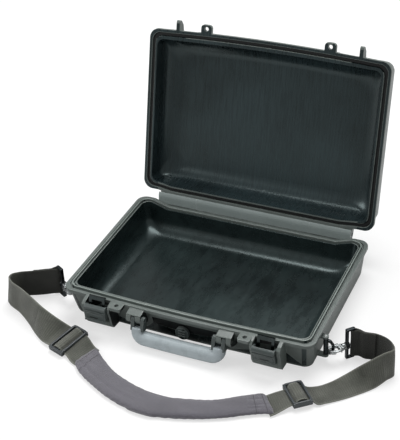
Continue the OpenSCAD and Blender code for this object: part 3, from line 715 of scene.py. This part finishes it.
def dressed(node_name, piece_name, finishes, width=0.0007, segments=2, pick=None,
            prepare=None):
    """A merged copy of a CAD node with rounded edges and its finishes, in its place."""
    source = frame["nodes"][node_name]
    weld_reach, flat_within, edge_from, smooth_within = 0.00001, 0.6, 30, 40
    plain_start()
    piece = bpy.data.objects.new(piece_name, source.data.copy())
    piece.data.name = piece_name
    bpy.context.scene.collection.objects.link(piece)
    only(piece)
    edit_all()
    bpy.ops.mesh.remove_doubles(threshold=weld_reach)
    bpy.ops.mesh.dissolve_limited(angle_limit=radians(flat_within))
    bpy.ops.object.mode_set(mode="OBJECT")
    if piece.data.has_custom_normals:
        bpy.ops.mesh.customdata_custom_splitnormals_clear()
    if prepare:
        edit_all()
        prepare()
        bpy.ops.object.mode_set(mode="OBJECT")
    finish_with(piece, "BEVEL", limit_method="ANGLE", angle_limit=radians(edge_from),
                width=width, segments=segments, use_clamp_overlap=False,
                miter_outer="MITER_ARC")
    smooth(piece, smooth_within)
    finish_with(piece, "WEIGHTED_NORMAL", keep_sharp=True, weight=60)
    piece.data.materials.clear()
    for finish in finishes:
        piece.data.materials.append(finish)
    for face in piece.data.polygons:
        face.material_index = pick(face.center, face.normal) if pick else 0
    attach(piece, source["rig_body"])
    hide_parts(node_name)


# the outside of the black plastic is given a grey tone, a painted sheen
shell_plastic, shell_painted_shade, shell_rim_painted_highlight = (
    moulded_finish(name, tone, worn_and_lit, roughness) for name, tone, worn_and_lit, roughness in (
        ("shell_plastic", shade(98, 106, 103), shade(168, 177, 173), 0.34),
        # the recess tone is painted shade
        ("shell_painted_shade", shade(20, 24, 24), shade(70, 77, 75), 0.4),
        # the rim tone is a painted highlight
        ("shell_rim_painted_highlight", shade(128, 139, 134), shade(186, 194, 190), 0.3)))
# the near-black tone of the lining is painted shade inside the black plastic
shell_lining_painted_shade = lining_finish("shell_lining_painted_shade", shade(7, 12, 13), shade(32, 43, 43))


cavity_wide, cavity_front, cavity_rear = 0.1998, -0.1345, 0.1308


def base_part(centre, normal):
    """0 outside, 1 for the inside, 2 for painted shade in the recess, the latch pockets
    and the right-facing front faces, 3 for the tongue, in a painted highlight.
    """
    x, y, z = abs(centre.x), centre.y, centre.z
    if x < cavity_wide and cavity_front < y < cavity_rear and 0.006 < z < 0.0598:
        return 1
    if x < 0.0552 and -0.1535 < y < -0.1365 and -0.001 < z < 0.0432:
        return 2
    if 0.1228 < x < 0.1622 and -0.1585 < y < -0.1365 and 0.0255 < z < 0.0535:
        return 2
    # front faces that look to the right, away from the lamps, take the painted shade too
    if normal.x > 0.8 and y < -0.1375 and centre.x < 0.1 and z < 0.058:
        return 2
    # the up-facing top of the tongue takes the painted highlight
    return 3 if z > 0.0604 and normal.z > 0.3 and -0.1452 < y < 0.1452 else 0


half_width, half_depth = 213.5, 144.5


def inner_fillet(piece_name, floor_level, rise, inset, draft, bow_back, reach, finish,
                 settle=None):
    """A broad concave strip round a shell's floor, from its wall to its floor."""
    rows, quarter, front_steps, clear = 13, 10, 12, 0.12
    verts = []
    for i in range(rows):
        a = pi / 2 * i / (rows - 1)
        height = reach * (1 - sin(a))
        inward = inset - draft * (height - rise) + reach * (1 - cos(a)) - clear
        corner = 12 + 0.9 * reach * (1 - cos(a))
        wide, rear = half_width - inward, half_depth - inward
        front = -half_depth + inward + bow_back - 0.07 * (height - rise)
        level = floor_level + (height - clear) * (1 if floor_level < 50 else -1)
        x, rear_y, front_y = wide - corner, rear - corner, front + corner
        for x, y, start in ((x, rear_y, 0), (-x, rear_y, 90), (-x, front_y, 180),
                            (x, front_y, 270)):
            for k in range(quarter + 1):
                t = radians(start + 90 * k / quarter)
                verts.append((x + corner * cos(t), y + corner * sin(t), level))
        # the front wall bows outward a little between its corners
        last = len(verts) - quarter - 2
        for k in range(1, front_steps):
            share = k / front_steps
            spot = verts[last]
            verts.insert(last + k, (spot[0] * (1 - 2 * share),
                                    spot[1] - 4 * (1 - (1 - 2 * share) ** 2), spot[2]))
    faces = ring_faces(rows, len(verts) // rows)
    verts = [Vector(v) / 1000 for v in verts]
    if settle:
        verts = [settle(v) for v in verts]
    plain_start()
    bpy.ops.mesh.primitive_circle_add(vertices=8, radius=0.01)
    strip = named(piece_name)
    rebuilt(strip, [tuple(v) for v in verts], faces)
    if floor_level < 50:
        strip.data.flip_normals()
    finish_with(strip, "SOLIDIFY", thickness=0.0001, offset=-1)
    return smooth(strip, 60, finish)


floor_fillet = inner_fillet("base_floor_fillet", 7, 9, 20, 0.122, 5, 22, shell_lining_painted_shade)
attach(floor_fillet, "case")


def split_concave():
    """Parts the concave faces, so that none folds over the gap along the hinge."""
    bpy.ops.mesh.vert_connect_concave()


dressed("base_shell", "base_shell_moulding",
        (shell_plastic, shell_lining_painted_shade, shell_painted_shade, shell_rim_painted_highlight), pick=base_part,
        prepare=split_concave)

# a sill in the painted shade tone lies before the foot of the handle recess, dark as the
# shade there
plain_start()
bpy.ops.mesh.primitive_cube_add(size=1)
painted_shade_sill = named("base_painted_shade_sill")
painted_shade_sill.data.transform(Matrix.Translation((0, -0.1434, 0.0013))
                           @ Matrix.Diagonal((0.1096, 0.0124, 0.002, 1)))
finish_with(painted_shade_sill, "BEVEL", limit_method="ANGLE", width=0.0005, segments=2)
smooth(painted_shade_sill, 50, shell_painted_shade)
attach(painted_shade_sill, "case")


# Lid: a moulding of the same plastic, standing open on the hinge at 105 degrees. Its
# rim has a groove for the gasket, its front edge carries two padlock lugs and two ribs,
# and its rear edge dips along the hinge.
lid_axis = Vector((0, 0.1545, 0.06))
lid_open_angle = 105
lid_turn = Matrix.Rotation(radians(lid_open_angle), 3, "X")


def lid_part(centre, normal):
    """1 for the inside of the lid, 0 for the rest, judged with the lid shut."""
    shut = lid_axis + lid_turn @ (centre - lid_axis)
    inside = abs(shut.x) < cavity_wide and cavity_front < shut.y < cavity_rear
    return 1 if inside and shut.z < 0.1065 else 0


# the lid's lining is near black too, as painted shade
lid_lining_painted_shade = lining_finish("lid_lining_painted_shade", shade(6, 10, 12), shade(44, 57, 60),
                           (420, 60, 12), radians(15))


def lid_open(spot):
    """Turns a place drawn with the lid shut to where it is with the lid open."""
    return lid_axis + lid_turn.transposed() @ (spot - lid_axis)


roof_fillet = inner_fillet("lid_roof_fillet", 106, 10, 17, 0.054, 3, 26, lid_lining_painted_shade,
                           lid_open)
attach(roof_fillet, "lid")

# smooth covers before the hinge barrels, each on the shell that its barrel belongs to:
# the middle one on the base, the outer two on the lid
# their pale grey tone is a painted highlight on the black plastic of the hinge band
hinge_cover_painted_light = moulded_finish("hinge_cover_painted_light", shade(150, 161, 159),
                                     shade(210, 218, 216), 0.27)
cover_line = [(148.4, 72.4), (146.9, 69.5), (145.7, 66), (145.2, 62.5), (145.1, 59.5),
              (145, 57), (144.95, 54.4), (144.95, 52)]
steps = range(len(cover_line))
cover_y, cover_z = zip(*cover_line)
for place, low_x, high_x, body in (("left", -0.178, -0.10515, "lid"),
                                   ("middle", -0.105, 0.105, "case"),
                                   ("right", 0.10515, 0.178, "lid")):
    plain_start()
    bpy.ops.mesh.primitive_grid_add(x_subdivisions=30, y_subdivisions=28, size=1)
    hinge_cover = named("hinge_cover_strip_" + place)
    for vertex in hinge_cover.data.vertices:
        share = (vertex.co.y + 0.5) * (len(cover_line) - 1)
        vertex.co = (low_x + (vertex.co.x + 0.5) * (high_x - low_x),
                     float(np.interp(share, steps, cover_y)) / 1000,
                     float(np.interp(share, steps, cover_z)) / 1000)
    finish_with(hinge_cover, "SOLIDIFY", thickness=0.0007, offset=0)
    smooth(hinge_cover, 60, hinge_cover_painted_light)
    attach(hinge_cover, body)

dressed("lid_shell", "lid_moulding", (shell_plastic, lid_lining_painted_shade), pick=lid_part)


# Gasket: an endless cord of soft black rubber that sits in the groove of the lid.
def rubber_finish(material_name, tone, roughness=0.7):
    material, tree = bare_material(material_name, Specular_IOR_Level=0.35)
    here = object_place(tree)
    bloom = noise(tree, here, 60.0, 5.0)
    skin = noise(tree, here, 1400.0)
    base = blended(tree, ramped(tree, bloom, 0.35, 0.8), tone, tinted(tone, 1.18, 0.003))
    rough = ramped(tree, bloom, 0.3, 0.7, roughness - 0.08, roughness + 0.08)
    return finished(material, base, rough, skin, 0.0001, 0.5)


seal_rubber = rubber_finish("seal_rubber", shade(22, 24, 24))
dressed("lid_gasket", "lid_gasket_cord", (seal_rubber,), width=0.0008, segments=3)


# Hinge pin and the small pins of latches, handle, strap plates and gates: drawn steel
# rod, pressed in at the ends, with turning marks round it.
def steel_finish(material_name, tone, roughness, marks=(90, 900, 900)):
    material, tree = bare_material(material_name, Metallic=1.0)
    here = object_place(tree)
    brushed = put(tree, "ShaderNodeMapping", {"Vector": here, "Scale": marks})
    lines = noise(tree, brushed.outputs[0], 1.0, 4.0)
    tarnish = ramped(tree, noise(tree, here, 120.0, 4.0), 0.4, 0.75, 0, 0.5)
    wear_and_highlight = use_group(tree, "edge_wear_and_highlight", Reach=0.0008, Broken=200.0).outputs["Rub"]
    base = blended(tree, tarnish, tone, tinted(tone, 0.62))
    # edges lighten, partly rubbed metal and partly a painted highlight
    base = blended(tree, times(tree, wear_and_highlight, 0.5), base, tinted(tone, 1.5, 0.05))
    rough = ramped(tree, lines, 0.3, 0.7, roughness - 0.08, roughness + 0.1)
    return finished(material, base, rough, lines, 0.00008, 0.5)


pin_steel = steel_finish("pin_steel", shade(176, 178, 178), 0.3)
for node_name in ("hinge_pin", "lever_pins_left", "lever_pins_right", "claw_pin_left",
                  "claw_pin_right", "handle_pins", "strap_plate_pin_left",
                  "strap_plate_pin_right", "gate_pin_left", "gate_pin_right"):
    dressed(node_name, node_name + "_rod", (pin_steel,), width=0.0003)


# Latches: a moulded lever turns on short pins between the ribs of its bay and carries
# a bent steel claw on a second pin. The left lever stands further out than the right.
latch_plastic = moulded_finish("latch_plastic", shade(72, 80, 79), shade(176, 184, 181),
                               0.28, grain=2400.0, bump_depth=0.00006)
claw_steel = steel_finish("claw_steel", shade(64, 70, 70), 0.2, (700, 700, 60))
for side in ("left", "right"):
    dressed("latch_lever_" + side, "latch_lever_moulding_" + side, (latch_plastic,),
            width=0.0008, segments=3)
    dressed("latch_claw_" + side, "latch_claw_plate_" + side, (claw_steel,),
            width=0.0005)


def on_lever(piece_name, side, middle, size, finish, round_by):
    """A small raised form on a lever's face; the face is drawn as at 18 degrees."""
    plain_start()
    bpy.ops.mesh.primitive_cube_add(size=1)
    form = named(piece_name)
    lean = atan2(4.5, 17.5)
    place = (Matrix.Translation((0.1425 + middle[0] / 1000, -0.16605, 0.03775))
             @ Matrix.Rotation(lean, 4, "X")
             @ Matrix.Translation((0, 0, middle[1] / 1000))
             @ Matrix.Diagonal((size[0] / 1000, size[1] / 1000, size[2] / 1000, 1)))
    if side == "left":
        pivot = Matrix.Translation((0, -0.158, 0.049))
        place = (Matrix.Diagonal((-1, 1, 1, 1)) @ pivot
                 @ Matrix.Rotation(radians(-17), 4, "X") @ pivot.inverted() @ place)
    form.data.transform(place)
    if side == "left":
        form.data.flip_normals()
    finish_with(form, "BEVEL", limit_method="ANGLE", width=round_by, segments=3)
    smooth(form, 50, finish)
    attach(form, "lever_" + side)


# the slot in each lever's face is a raised block in a near-black tone, painted shade for
# the dark of the slot
slot_painted_shade = rubber_finish("slot_painted_shade", shade(12, 14, 14))
for side in ("left", "right"):
    for form_name, middle, size, finish, round_by in (
            ("lever_face_panel_", (0, -1.6), (31, 1.6, 11.5), latch_plastic, 0.0008),
            ("lever_face_ledge_", (0, 6.9), (36.4, 3.2, 1.8), latch_plastic, 0.0008),
            ("lever_foot_rim_", (0, -8.2), (34, 2.4, 1.5), latch_plastic, 0.0006),
            ("lever_face_slot_", (1.5, -3.6), (15, 2.0, 2.4), slot_painted_shade, 0.0007)):
        on_lever(form_name + side, side, middle, size, finish, round_by)


# Carrying handle: a forked plastic frame on pins in two brackets, with a thick soft
# grip moulded round its bar.
def keep_forks():
    """Keeps the forked ends of the frame above the grip."""
    bpy.ops.mesh.bisect(plane_co=(0, -0.163, 0.029), plane_no=(0, 0.24, 0.97),
                        clear_inner=True, use_fill=True)


dressed("handle_frame", "handle_frame_moulding", (latch_plastic,), width=0.0008,
        segments=3, prepare=keep_forks)


def swept(piece_name, spine, sections, around, finish):
    """A closed form carried along a spine, with an oval section at each point."""
    verts = []
    count = len(spine)
    outward = Vector((0, -0.97, 0.24)).normalized()
    for i, (spot, (wide, deep)) in enumerate(zip(spine, sections)):
        ahead = (spine[min(i + 1, count - 1)] - spine[max(i - 1, 0)]).normalized()
        beside = ahead.cross(outward).normalized()
        for k in range(around):
            a = 2 * pi * k / around
            c = copysign(abs(cos(a)) ** 0.85, cos(a))
            q = copysign(abs(sin(a)) ** 0.85, sin(a))
            verts.append(tuple(spot + beside * wide * c + outward * deep * q))
    plain_start()
    bpy.ops.mesh.primitive_circle_add(vertices=around, radius=0.01)
    piece = named(piece_name)
    rebuilt(piece, verts, ring_faces(count, around), around)
    edit_all()
    facing_out()
    finish_with(piece, "BEVEL", limit_method="ANGLE", angle_limit=radians(60),
                width=0.0015, segments=3)
    return smooth(piece, 50, finish)


# the grip is black; its pale blue-grey tone is a painted sheen
grip_skin_painted_sheen = rubber_finish("grip_skin_painted_sheen", shade(168, 178, 182), 0.29)
level_half, level_share, bend_radius, grip_radius = 0.0575, 0.66, 0.0118, 0.0113
grip_spine = []
grip_sections = []
for k in range(57):
    t = k / 56 * 2 - 1
    # the bar runs level and turns up into both forks
    reach = abs(t)
    if reach < level_share:
        x, rise, wide = reach / level_share * level_half, 0.0, grip_radius
    else:
        a = min((reach - level_share) / 0.24, 1.0) * pi / 2
        x = level_half + bend_radius * sin(a)
        rise = bend_radius * (1 - cos(a)) + 0.006 * max((reach - 0.9) / 0.1, 0)
        wide = grip_radius - 0.0012 * min((reach - level_share) / 0.34, 1)
    bow = 0.0012 * cos(t * pi / 2)
    grip_spine.append(Vector((copysign(x, t), -0.166 - bow * 0.2 + rise * 0.24,
                              0.0172 + rise * 0.97 - bow)))
    grip_sections.append((wide, 0.0112 - 0.0016 * max((reach - 0.7) / 0.3, 0)))
handle_grip = swept("handle_grip_sleeve", grip_spine, grip_sections, 28, grip_skin_painted_sheen)
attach(handle_grip, "handle")
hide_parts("handle_grip")


# Pressure valve: a body through the front wall with a seal under its head, a nut inside
# and a slotted cap with short ribs outside.
for node_name, form, width, segments, finish, slot in (
        ("valve_body", "moulding", 0.0004, 2, latch_plastic, "latch_plastic"),
        ("valve_cap", "disc", 0.0005, 3, latch_plastic, "latch_plastic"),
        ("valve_seal", "ring", 0.0003, 2, seal_rubber, "seal_rubber"),
        ("valve_nut", "six_sided", 0.0005, 2, latch_plastic, "latch_plastic")):
    dressed(node_name, node_name + "_" + form, (finish,), width, segments)


# Strap hardware: flat black plates turning on upright pins in the shell's side lugs,
# cast snap hooks with sprung gates, and swivel loops that carry the webbing.
dark_metal = steel_finish("dark_metal", shade(58, 62, 64), 0.3, (300, 300, 300))
hook_metal = steel_finish("hook_metal", shade(168, 172, 173), 0.28, (400, 400, 120))
strap_plastic = moulded_finish("strap_plastic", shade(62, 67, 70), shade(150, 156, 158),
                               0.34, grain=2600.0, bump_depth=0.00005)
for side in ("left", "right"):
    for node_name, form, width, segments, finish, slot in (
            ("strap_plate_", "flat_", 0.0006, 2, dark_metal, "strap_metal"),
            ("snap_hook_", "cast_", 0.0009, 3, hook_metal, "strap_metal"),
            ("snap_gate_", "sprung_", 0.0004, 2, hook_metal, "strap_metal"),
            ("swivel_loop_", "cast_", 0.0008, 3, dark_metal, "strap_metal"),
            ("slider_", "moulding_", 0.0009, 3, strap_plastic, "strap_plastic")):
        dressed(node_name + side, node_name + form + side, (finish,), width, segments)


# Sliders: the webbing comes up through one slot of each, over the middle bar and down
# through the other. The frame round it is moulded with rounded corners and stands above
# the webbing at both ends.
def slider_rim(piece_name, half_long, half_wide):
    """A rounded frame round the webbing of a slider, drawn flat about its middle."""
    plain_start()
    bpy.ops.mesh.primitive_plane_add(size=1)
    rim = named(piece_name)
    edit_all()
    bpy.ops.transform.resize(value=(2 * half_long, 2 * half_wide, 1))
    bpy.ops.transform.translate(value=(0, 0, 0.0012))
    bpy.ops.mesh.bevel(offset=0.006, offset_pct=0, segments=5, affect="VERTICES")
    bpy.ops.mesh.select_all(action="SELECT")
    bpy.ops.mesh.inset(thickness=0.0036)
    bpy.ops.mesh.delete(type="FACE")
    bpy.ops.mesh.select_all(action="SELECT")
    bpy.ops.mesh.extrude_region_move(TRANSFORM_OT_translate={"value": (0, 0, 0.0044)})
    bpy.ops.mesh.select_all(action="SELECT")
    facing_out()
    finish_with(rim, "BEVEL", limit_method="ANGLE", angle_limit=radians(50),
                width=0.0012, segments=3)
    return smooth(rim, 50, strap_plastic)


hump = [(-9.4, 1.6), (-8.6, 2.0), (-7.4, 3.4), (-6, 5.0), (-3.5, 6.1), (0, 6.4),
        (3.5, 6.1), (6, 5.0), (7.4, 3.4), (8.6, 2.0), (9.4, 1.6)]
for side, place, turn, tilt, half in (("right", (206.5, -191.8, 6.8), -139.9, 4, 20.4),
                                      ("left", (-173.5, -205.5, 8.5), -17.7, 5, 24.4)):
    turned = (Matrix.Rotation(radians(turn), 4, "Z")
              @ Matrix.Rotation(radians(tilt), 4, "X"))
    put_down = Matrix.Translation(Vector(place)) @ turned
    edges = ([tuple(put_down @ Vector((x, y, z))) for x, z in hump]
             for y in (-half, half))
    fold, _ = laid_webbing("slider_webbing_fold_" + side, *edges, 8, webbing_fold_cloth)
    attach(fold, "case")
    rim = slider_rim("slider_rim_" + side, 0.0152, (half + 5.2) / 1000)
    rim.data.transform(Matrix.Translation(Vector(place) / 1000) @ turned)
    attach(rim, "case")


# Floor and light: a plain white floor under a large soft light from above and behind,
# with a fainter one from the front left.
def lamp(lamp_name, place, aim, size, power):
    light = bpy.data.lights.new(lamp_name, "AREA")
    light.shape = "DISK"
    light.size = size
    light.energy = power
    lamp_object = bpy.data.objects.new(lamp_name, light)
    bpy.context.scene.collection.objects.link(lamp_object)
    lamp_object.location = place
    lamp_object.rotation_euler = (Vector(aim) - Vector(place)).to_track_quat(
        "-Z", "Y").to_euler()


plain_start()
bpy.ops.mesh.primitive_plane_add(size=14, location=(0, 0, -0.0002))
floor = named("floor")
floor_white, tree = bare_material("floor_white", Roughness=0.9, Specular_IOR_Level=0.1)
shader = tree.nodes["Principled BSDF"]
seen = put(tree, "ShaderNodeLightPath").outputs["Is Camera Ray"]
tree.links.new(blended(tree, seen, (0.75, 0.75, 0.75, 1), (0.42, 0.42, 0.42, 1)),
               shader.inputs["Base Color"])
glow = put(tree, "ShaderNodeEmission", {"Strength": times(tree, seen, 0.6)})
both = put(tree, "ShaderNodeAddShader", {0: shader.outputs[0], 1: glow.outputs[0]})
tree.links.new(both.outputs[0], tree.nodes["Material Output"].inputs["Surface"])
floor.data.materials.append(floor_white)

world = bpy.data.worlds.new("studio")
bpy.context.scene.world = world
world.use_nodes = True
tree = world.node_tree
ray = put(tree, "ShaderNodeLightPath")
tree.links.new(ramped(tree, ray.outputs["Is Camera Ray"], 0, 1, 0.36, 1.0),
               tree.nodes["Background"].inputs["Strength"])
tree.nodes["Background"].inputs["Color"].default_value = (1, 1, 1, 1)
lamp("overhead_softbox", (0.0, 0.8, 2.2), (0, 0, 0.1), 1.6, 46)
lamp("left_softbox", (-1.9, -1.3, 1.5), (0, 0, 0.05), 1.2, 20)

bpy.context.scene.view_settings.view_transform = "Standard"
